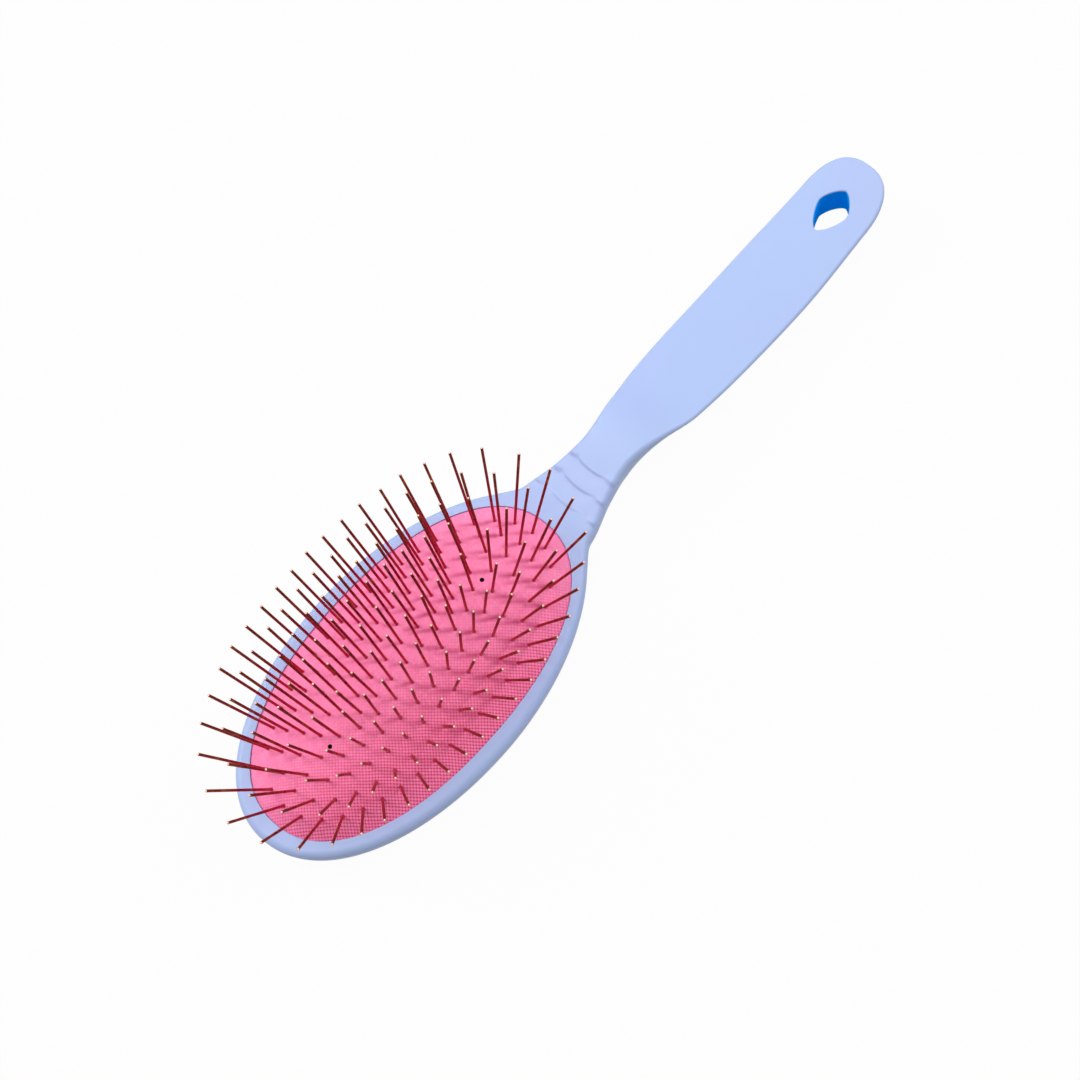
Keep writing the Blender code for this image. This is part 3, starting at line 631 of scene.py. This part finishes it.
def pin_feet():
    """Foot and direction of every pin, by the name of the slice that carries it."""
    feet = {}
    for ring, count in enumerate(RING_PINS):
        own = PAD_HALF_WIDTH * RING_WIDTH_SHARES[ring]
        sector_pins = count // SECTORS
        for sector in range(SECTORS):
            first = sector * sector_pins - (sector_pins - 1) // 2
            slice_feet = []
            for pin in range(first, first + sector_pins):
                share = pin / count
                ahead, behind = level_points(own, (share + NEAR_SHARE, share - NEAR_SHARE))
                outer = level_points(own + NEAR_LEVEL, (share,))[0]
                inner = level_points(own - NEAR_LEVEL, (share,))[0]
                direction = (outer - inner).cross(ahead - behind).normalized()
                slice_feet.append((level_points(own, (share,))[0], direction))
            feet[f"ring_{ring + 1}_pins_{sector + 1}"] = slice_feet
    height = crown_height(PAD_HALF_WIDTH * RING_WIDTH_SHARES[-1] * 0.5)
    pitch = 2 * ROW_HALF_LENGTH / (ROW_PINS - 1)
    feet["centre_row_pins"] = [
        (Vector((x, 0, height)), Vector((x, 0, ROW_FAN_RADIUS)).normalized())
        for x in (-ROW_HALF_LENGTH + pitch * i for i in range(ROW_PINS))]
    return feet


feet = pin_feet()
shares = [(i + 0.5) / CROWN_AROUND for i in range(CROWN_AROUND)]
levels = [level_points(SHOULDER_WIDTH * (i / CROWN_LEVELS) ** LEVEL_CROWDING, shares)
          for i in range(CROWN_LEVELS + 1)]
lean = math.asin(SHOULDER_WIDTH / CROWN_RADIUS)
round_x = SHOULDER_WIDTH - SHOULDER_ROUND * math.sin(lean)
round_z = crown_height(SHOULDER_WIDTH) - SHOULDER_ROUND * math.cos(lean)
for i in range(1, SHOULDER_STEPS + 1):
    angle = lean + (math.pi / 2 - lean) * i / SHOULDER_STEPS
    levels.append(level_points(round_x + SHOULDER_ROUND * math.sin(angle), shares,
                               round_z + SHOULDER_ROUND * math.cos(angle)))
wall = round_x + SHOULDER_ROUND
levels.append(level_points(wall, shares, CROWN_WALL_FOOT))
levels.append(level_points(wall - CROWN_FOOT_DRAW, shares, CROWN_FOOT))
bm = placed_grid(CROWN_AROUND, len(levels) - 1, lambda i, j: levels[j][i % CROWN_AROUND].copy())
bmesh.ops.remove_doubles(bm, verts=bm.verts, dist=FINE_WELD)
open_edges = [edge for edge in bm.edges if len(edge.link_faces) == 1]
bmesh.ops.edgeloop_fill(bm, edges=open_edges)
bmesh.ops.recalc_face_normals(bm, faces=bm.faces)
crown = piece_from(bm, "cushion_crown")

vent_cutters = []
vent_x = PAD_HALF_LENGTH * (RING_LENGTH_SHARES[-1] + RING_LENGTH_SHARES[-2]) / 2
for name, side in (("heel", 1), ("toe", -1)):
    bm = bmesh.new()
    bmesh.ops.create_cone(bm, cap_ends=True, segments=VENT_SIDES, radius1=VENT_RADIUS,
                          radius2=VENT_RADIUS, depth=VENT_DEPTH)
    bmesh.ops.translate(bm, verts=bm.verts, vec=(side * vent_x, 0, crown_height(0) - VENT_SINK))
    vent_cutters.append(piece_from(bm, "vent_" + name))

# Plain weave on two coordinates that are turned against the brush, as the cloth lies on the cushion
plain_weave = bpy.data.node_groups.new("plain_weave", "ShaderNodeTree")
for name, kind, direction in (("Vector", "NodeSocketVector", "INPUT"),
                              ("Pitch", "NodeSocketFloat", "INPUT"),
                              ("Height", "NodeSocketFloat", "OUTPUT"),
                              ("Gaps", "NodeSocketFloat", "OUTPUT"),
                              ("Yarn", "NodeSocketFloat", "OUTPUT")):
    plain_weave.interface.new_socket(name=name, in_out=direction, socket_type=kind)
source = plain_weave.nodes.new("NodeGroupInput").outputs
result = plain_weave.nodes.new("NodeGroupOutput").inputs


def woven(operation, a, b=0.0):
    return maths(plain_weave, operation, a, b)


def yarn_round(along):
    """Half a round over each yarn: 0 in the gap beside it and 1 on its middle."""
    return woven("SINE", woven("MULTIPLY", woven("FRACT", along), math.pi))


turn = node(plain_weave, "ShaderNodeMapping", "across the brush", Vector=source["Vector"],
            Rotation=(0, 0, WEAVE_TURN))
waver = node(plain_weave, "ShaderNodeTexNoise", "yarn waver", Vector=source["Vector"], Scale=120.0,
             Detail=1.0)
shift = node(plain_weave, "ShaderNodeVectorMath", "drift", i0=waver.outputs["Color"],
             i1=(0.5, 0.5, 0.5))
shift.operation = "SUBTRACT"
drift = node(plain_weave, "ShaderNodeVectorMath", "drift size", i0=shift.outputs[0])
drift.operation = "SCALE"
drift.inputs["Scale"].default_value = YARN_WAVER
lay = node(plain_weave, "ShaderNodeVectorMath", "lay", i0=turn.outputs[0], i1=drift.outputs[0])
axes = node(plain_weave, "ShaderNodeSeparateXYZ", "yarn axes", Vector=lay.outputs[0])

warp = woven("DIVIDE", axes.outputs[0], source["Pitch"])
weft = woven("DIVIDE", axes.outputs[1], source["Pitch"])
warp_round = yarn_round(warp)
weft_round = yarn_round(weft)
parity = woven("PINGPONG", woven("ADD", woven("FLOOR", warp), woven("FLOOR", weft)), 1.0)
over_warp = woven("MULTIPLY", warp_round, parity)
over_weft = woven("MULTIPLY", weft_round, woven("SUBTRACT", 1.0, parity))
height = woven("ADD", over_warp, over_weft)
# Faint lines beside the yarns, and darker holes where two of them cross
warp_gap = woven("POWER", woven("SUBTRACT", 1.0, warp_round), 1.7)
weft_gap = woven("POWER", woven("SUBTRACT", 1.0, weft_round), 1.5)
lines = woven("MAXIMUM", woven("MULTIPLY", warp_gap, 0.4), woven("MULTIPLY", weft_gap, 0.6))
holes = woven("MULTIPLY", warp_gap, weft_gap)
gaps = woven("ADD", lines, woven("POWER", holes, 0.6))
yarn = node(plain_weave, "ShaderNodeTexWhiteNoise", "yarn tone")
yarn.noise_dimensions = "2D"
cell = node(plain_weave, "ShaderNodeCombineXYZ", "yarn number", i0=woven("FLOOR", warp),
            i1=woven("FLOOR", weft))
plain_weave.links.new(cell.outputs[0], yarn.inputs["Vector"])
plain_weave.links.new(height, result["Height"])
plain_weave.links.new(gaps, result["Gaps"])
plain_weave.links.new(yarn.outputs["Value"], result["Yarn"])

cloth, tree, shader = new_material("woven_cloth")
place = tree.nodes.new("ShaderNodeTexCoord").outputs["Object"]
weave = tree.nodes.new("ShaderNodeGroup")
weave.node_tree = plain_weave
tree.links.new(place, weave.inputs["Vector"])
weave.inputs["Pitch"].default_value = WEAVE_PITCH
# Painted shade: the weave's dark gaps show more towards the near side and fade on the far side, so
# the near side looks darker
near_side = node(tree, "ShaderNodeVectorMath", "towards the near side", i0=place, i1=NEAR_SIDE)
near_side.operation = "DOT_PRODUCT"
near_side_shade = stepped(tree, near_side.outputs["Value"], GAP_SHADE_START, GAP_SHADE_FULL)
near_side_shade.node.inputs[3].default_value = 0.05
near_side_shade.node.inputs[4].default_value = 1.0
gaps_and_shade = maths(tree, "MULTIPLY", weave.outputs["Gaps"], near_side_shade)
yarn_colour = tint(tree, weave.outputs["Yarn"], (1.0, 0.225, 0.445, 1), (1.0, 0.27, 0.50, 1))
colour = tint(tree, gaps_and_shade, yarn_colour, (0.68, 0.004, 0.07, 1))
# Painted shade: the cloth is darkened along each crease
crease_shade_mask = node(tree, "ShaderNodeAttribute")
crease_shade_mask.attribute_name = "crease"
colour = tint(tree, crease_shade_mask.outputs["Fac"], colour, (0.52, 0.025, 0.13, 1))
# Painted shade: the cloth is darkened in the pucker round each pin's foot
pucker_shade_mask = node(tree, "ShaderNodeAttribute")
pucker_shade_mask.attribute_name = "pucker"
colour = tint(tree, stepped(tree, pucker_shade_mask.outputs["Fac"], 0.35, 0.95), colour, (0.30, 0.01, 0.06, 1))
tree.links.new(colour, shader.inputs["Base Color"])
folds = node(tree, "ShaderNodeMapping", "pull between pins", Vector=place,
             Rotation=(0, 0, FOLD_TURN), Scale=(0.35, 1.0, 1.0))
pull = node(tree, "ShaderNodeTexNoise", "soft folds", Vector=folds.outputs[0], Scale=160.0,
            Detail=1.0)
fold_bump = node(tree, "ShaderNodeBump", "soft folds", Strength=0.8, Distance=FOLD_DEPTH,
                 Height=pull.outputs[0])
weave_bump = node(tree, "ShaderNodeBump", "yarns", Strength=0.6, Distance=YARN_DEPTH,
                  Height=weave.outputs["Height"], Normal=fold_bump.outputs[0])
tree.links.new(weave_bump.outputs[0], shader.inputs["Normal"])
shader.inputs["Roughness"].default_value = 0.75
shader.inputs["Sheen Weight"].default_value = 0.8
shader.inputs["Sheen Roughness"].default_value = 0.45
shader.inputs["Sheen Tint"].default_value = (1.0, 0.6, 0.8, 1)
shader.inputs["Specular IOR Level"].default_value = 0.15

# Painted shade: the vent walls are near black, for the shade inside the vents
vent_painted_shade, tree, shader = new_material("vent_wall")
place = tree.nodes.new("ShaderNodeTexCoord").outputs["Object"]
vent_shade_mottle = node(tree, "ShaderNodeTexNoise", "vent_shade_mottle", Vector=place, Scale=3000.0)
tree.links.new(tint(tree, vent_shade_mottle.outputs[0], (0.010, 0.002, 0.006, 1), (0.03, 0.006, 0.014, 1)),
               shader.inputs["Base Color"])
shader.inputs["Roughness"].default_value = 0.9

crown.data.materials.append(cloth)
crown.data.materials.append(vent_painted_shade)
for cutter in vent_cutters:
    cutter.data.materials.append(vent_painted_shade)
carve(crown, vent_cutters)

# Each pin pulls a small pucker into the cloth, and a crease runs off from it. The creases are
# strongest at the heel and weaken towards the toe and the far side.
co = np.empty(len(crown.data.vertices) * 3)
crown.data.vertices.foreach_get("co", co)
co = co.reshape(-1, 3)
top = co[:, 2] > CROWN_WALL_TOP
# Mask of the painted shade round each pin's foot
pucker = np.zeros(len(co))
# The crease mask sets both the crease's depth and the painted shade along it
crease = np.zeros(len(co))
pulls = random.Random(5)
for slice_feet in feet.values():
    for foot, direction in slice_feet:
        east, north = co[:, 0] - foot.x, co[:, 1] - foot.y
        away = np.hypot(east, north)
        pucker = np.maximum(pucker, np.exp(-(away / PUCKER_SHADE_SPREAD) ** 2) * top)
        length = CREASE_LENGTH * pulls.uniform(*CREASE_LENGTH_SPREAD)
        run = (east * CREASE_ALONG.x + north * CREASE_ALONG.y) / length
        off = east * CREASE_ALONG.y - north * CREASE_ALONG.x
        bend = pulls.uniform(*CREASE_BEND_SPREAD) * np.clip(run, 0, 1) * CREASE_LENGTH
        heelward = (foot.x - CREASE_WEAK_X) / (CREASE_STRONG_X - CREASE_WEAK_X)
        nearward = (foot.y - CREASE_WEAK_Y) / (CREASE_STRONG_Y - CREASE_WEAK_Y)
        strength = min(max(heelward, CREASE_WEAKEST_X), 1)
        strength *= pulls.uniform(*CREASE_STRENGTH_SPREAD)
        strength *= min(max(nearward, CREASE_WEAKEST_Y), 1)
        line = np.exp(-((off - bend) / CREASE_SPREAD) ** 2)
        line = line * np.clip(run / CREASE_START_SHARE, 0, 1) * np.sqrt(np.clip(1 - run, 0, 1))
        crease = np.maximum(crease, line * top * strength)
        co[:, 2] -= PUCKER_DEPTH * np.exp(-(away / PUCKER_SPREAD) ** 2) * top
co[:, 2] -= CREASE_DEPTH * crease
crown.data.vertices.foreach_set("co", co.ravel())
for name, share in (("pucker", pucker), ("crease", crease)):
    mask = crown.data.attributes.new(name, "FLOAT", "POINT")
    mask.data.foreach_set("value", share.astype(np.float32))
crown.data.update()
crown.data.shade_smooth()
crown.data.set_sharp_from_angle(angle=math.radians(60))
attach(crown, "base")
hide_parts("cushion")
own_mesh(crown)


# Cushion skirt: the lower part of the rubber cushion, drawn in at the waist. Its bead snaps into
# the groove of the pocket and holds the cushion, so it stays still when the crown is pressed.
SKIRT_TOP = 13.4 * MM
SKIRT_INSIDE = -2.2 * MM
BEAD_SHOULDER = 0.75 * MM

skirt_profile = [(-0.62 * MM, SKIRT_TOP), (-0.5 * MM, 12.6 * MM), (-0.1 * MM, 11.7 * MM),
                 (0, SKIRT_BEAD_TOP), (BEAD_SHOULDER, 11.0 * MM), (BEAD_REACH, 10.7 * MM),
                 (BEAD_REACH, 10.1 * MM), (BEAD_SHOULDER, 9.7 * MM), (0, SKIRT_FOOT),
                 (SKIRT_INSIDE, SKIRT_FOOT), (SKIRT_INSIDE, SKIRT_TOP)]
skirt_loops = [pocket_loop(offset, height) for offset, height in skirt_profile]
skirt_loops.append(skirt_loops[0])
bm = placed_grid(POCKET_SIDES, len(skirt_profile),
                 lambda i, j: skirt_loops[j][i % POCKET_SIDES].copy())
bmesh.ops.remove_doubles(bm, verts=bm.verts, dist=FINE_WELD)
bmesh.ops.recalc_face_normals(bm, faces=bm.faces)
skirt = piece_from(bm, "cushion_skirt")
rubber, tree, shader = new_material("pink_rubber")
skin = skin_of(tree, 9 * MM, 0.25 * MM)
colour = tint(tree, skin["Clouds"], (0.55, 0.05, 0.16, 1), (0.66, 0.08, 0.22, 1))
tree.links.new(colour, shader.inputs["Base Color"])
bump = node(tree, "ShaderNodeBump", "rubber skin", Strength=0.3, Distance=0.05 * MM,
            Height=skin["Grain"])
tree.links.new(bump.outputs[0], shader.inputs["Normal"])
shader.inputs["Roughness"].default_value = 0.7
skirt.data.materials.append(rubber)
skirt.data.shade_smooth()
skirt.data.set_sharp_from_angle(angle=math.radians(50))
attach(skirt, "base")
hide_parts("cushion")


# Pins: straight copper-toned wires of one length, with their ends rounded. Each is pushed through
# the cloth from inside, so it leans a little out of true, and it rides with the slice of the
# cushion that holds it. Their colour holds painted light: the pale ends are a painted highlight,
# the crimson near the foot a painted reflection of the cloth, and the orange patches painted
# glints.
PIN_LENGTH = 26.5 * MM
PIN_RADIUS = 0.39 * MM
PIN_SEAT = 0.55 * MM
PIN_LEAN = math.radians(0.9)
PIN_SIDES = 10
TIP_ROUND = 0.34 * MM
TIP_SEARCH = 0.1 * MM
TIP_HIGHLIGHT_SHARES = (0.993, 0.996)

bm = bmesh.new()
bmesh.ops.create_cone(bm, cap_ends=True, segments=PIN_SIDES, radius1=PIN_RADIUS,
                      radius2=PIN_RADIUS, depth=PIN_LENGTH + PIN_SEAT)
bmesh.ops.translate(bm, verts=bm.verts, vec=(0, 0, (PIN_LENGTH - PIN_SEAT) / 2))
tip_edges = [edge for edge in bm.edges
             if all(vert.co.z > PIN_LENGTH - TIP_SEARCH for vert in edge.verts)]
bmesh.ops.bevel(bm, geom=tip_edges, offset=TIP_ROUND, offset_type="OFFSET", segments=3,
                profile=0.5, affect="EDGES", material=-1)
along = bm.verts.layers.float.new("along")
for vert in bm.verts:
    vert[along] = (vert.co.z + PIN_SEAT) / (PIN_LENGTH + PIN_SEAT)
wire = bpy.data.meshes.new("wire")
bm.to_mesh(wire)
bm.free()

copper, tree, shader = new_material("copper_wire")
along = node(tree, "ShaderNodeAttribute")
along.attribute_name = "along"
place = tree.nodes.new("ShaderNodeTexCoord").outputs["Object"]
tone = node(tree, "ShaderNodeTexNoise", "drawn tone", Vector=place, Scale=420.0, Detail=2.0)
# Painted reflection: crimson near the foot, where the wire mirrors the pink cloth, turning dark
# brown towards the tip
reflection_ramp = node(tree, "ShaderNodeValToRGB", "foot to tip", Fac=along.outputs["Fac"])
reflection_ramp.color_ramp.elements[0].color = (0.46, 0.026, 0.075, 1)
reflection_ramp.color_ramp.elements[1].color = (0.17, 0.032, 0.014, 1)
for position, colour in ((0.15, (0.44, 0.022, 0.062, 1)), (0.5, (0.30, 0.018, 0.036, 1))):
    reflection_ramp.color_ramp.elements.new(position).color = colour
# Painted reflection: orange patches at random stand in for the lamps' glints on the copper
glint_patches = stepped(tree, tone.outputs[0], 0.5, 0.8)
shaft = tint(tree, glint_patches, reflection_ramp.outputs[0], (0.38, 0.11, 0.035, 1))
# Painted highlight: the rounded ends are pale
tip_highlight = stepped(tree, along.outputs["Fac"], *TIP_HIGHLIGHT_SHARES)
tree.links.new(tint(tree, tip_highlight, shaft, (0.90, 0.56, 0.46, 1)), shader.inputs["Base Color"])
metal = maths(tree, "SUBTRACT", 0.6, maths(tree, "MULTIPLY", tip_highlight, 0.5))
tree.links.new(metal, shader.inputs["Metallic"])
rough = maths(tree, "ADD", maths(tree, "MULTIPLY", tone.outputs[0], 0.15), 0.22)
tree.links.new(rough, shader.inputs["Roughness"])
shader.inputs["Specular IOR Level"].default_value = 0.2
shader.inputs["Specular Tint"].default_value = (1.0, 0.45, 0.4, 1)

leaning = random.Random(11)
bodies = frame["record"]["behaviour"]["bodies"]
body_of_slice = {name: body_name for body_name, members in bodies.items() for name in members}
for name, slice_feet in feet.items():
    bm = bmesh.new()
    for foot, direction in slice_feet:
        start = len(bm.verts)
        bm.from_mesh(wire)
        bm.verts.ensure_lookup_table()
        fresh = bm.verts[start:]
        side = leaning.uniform(0, math.tau)
        tilt = Matrix.Rotation(PIN_LEAN * math.sqrt(leaning.random()), 3,
                               Vector((math.cos(side), math.sin(side), 0)))
        turn = direction.to_track_quat("Z", "Y").to_matrix() @ tilt
        bmesh.ops.rotate(bm, verts=fresh, cent=(0, 0, 0), matrix=turn)
        bmesh.ops.translate(bm, verts=fresh, vec=foot)
    pins = piece_from(bm, name.replace("pins", "wires"), copper)
    pins.data.shade_smooth()
    pins.data.set_sharp_from_angle(angle=math.radians(70))
    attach(pins, body_of_slice[name])
    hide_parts(name)


# Studio: a plain white floor that keeps a soft shadow, an even room, and three broad lamps: one
# past the handle, one on the far side and one above. The camera stands where the photograph was
# taken from.
FLOOR_HALF_WIDTH = 3
PAPER_WHITE = 0.965
ROOM_LEVEL = 0.21
LAMP_SIZE = 1.6
LAMP_TARGET = (0.03, 0, 0)
PHOTO_WIDTH = 1080
FOCAL_PIXELS = 1996.627
SENSOR_WIDTH = 36.0


def direct_ray(tree):
    """1 for a ray from the camera, a mirrored one or one that has passed through, and else 0."""
    rays = tree.nodes.new("ShaderNodeLightPath").outputs
    return maths(tree, "MAXIMUM", rays["Is Camera Ray"],
                 maths(tree, "MAXIMUM", rays["Is Glossy Ray"], rays["Is Transmission Ray"]))


bm = bmesh.new()
bmesh.ops.create_grid(bm, x_segments=1, y_segments=1, size=FLOOR_HALF_WIDTH)
floor = piece_from(bm, "floor")
white, tree, shader = new_material("white_floor")
shader.inputs["Base Color"].default_value = (0.50, 0.50, 0.50, 1)
shader.inputs["Roughness"].default_value = 0.9
shader.inputs["Specular IOR Level"].default_value = 0.0
glow = node(tree, "ShaderNodeEmission", "paper white", Color=(1, 1, 1, 1), Strength=1.0)
seen = maths(tree, "MULTIPLY", direct_ray(tree), PAPER_WHITE)
mixed = node(tree, "ShaderNodeMixShader", i0=seen, i1=shader.outputs[0], i2=glow.outputs[0])
tree.links.new(mixed.outputs[0], tree.nodes["Material Output"].inputs["Surface"])
floor.data.materials.append(white)

world = bpy.data.worlds.new("room")
bpy.context.scene.world = world
world.use_nodes = True
tree = world.node_tree
backdrop = tree.nodes["Background"]
backdrop.inputs["Color"].default_value = (1, 1, 1, 1)
level = maths(tree, "MULTIPLY_ADD", direct_ray(tree), 1 - ROOM_LEVEL)
level.node.inputs[2].default_value = ROOM_LEVEL
tree.links.new(level, backdrop.inputs["Strength"])

for name, place, power in (("handle_side_lamp", (2.1, -1.0, 1.8), 39.5),
                           ("far_side_lamp", (-0.6, 1.9, 1.6), 39.0),
                           ("top_lamp", (-0.3, 0.1, 2.6), 31.0)):
    lamp = bpy.data.lights.new(name, "AREA")
    lamp.shape = "DISK"
    lamp.size = LAMP_SIZE
    lamp.energy = power
    holder = bpy.data.objects.new(name, lamp)
    holder.location = place
    aim = Vector(LAMP_TARGET) - Vector(place)
    holder.rotation_euler = aim.to_track_quat("-Z", "Y").to_euler()
    bpy.context.scene.collection.objects.link(holder)

sight = bpy.data.cameras.new("camera")
sight.sensor_width = SENSOR_WIDTH
sight.lens = SENSOR_WIDTH * FOCAL_PIXELS / PHOTO_WIDTH
camera = bpy.data.objects.new("camera", sight)
bpy.context.scene.collection.objects.link(camera)
right = Vector((0.66345454, -0.73860822, -0.11952395))
down = Vector((-0.72959153, -0.60321083, -0.32223112))
ahead = Vector((0.16590441, 0.30098936, -0.93908526))
stand = Vector((-40.2367, -164.0477, 520.198)) * MM
facing = Matrix((right, -down, -ahead)).transposed().to_4x4()
camera.matrix_world = Matrix.Translation(stand) @ facing
bpy.context.scene.camera = camera
bpy.context.scene.view_settings.view_transform = "Standard"
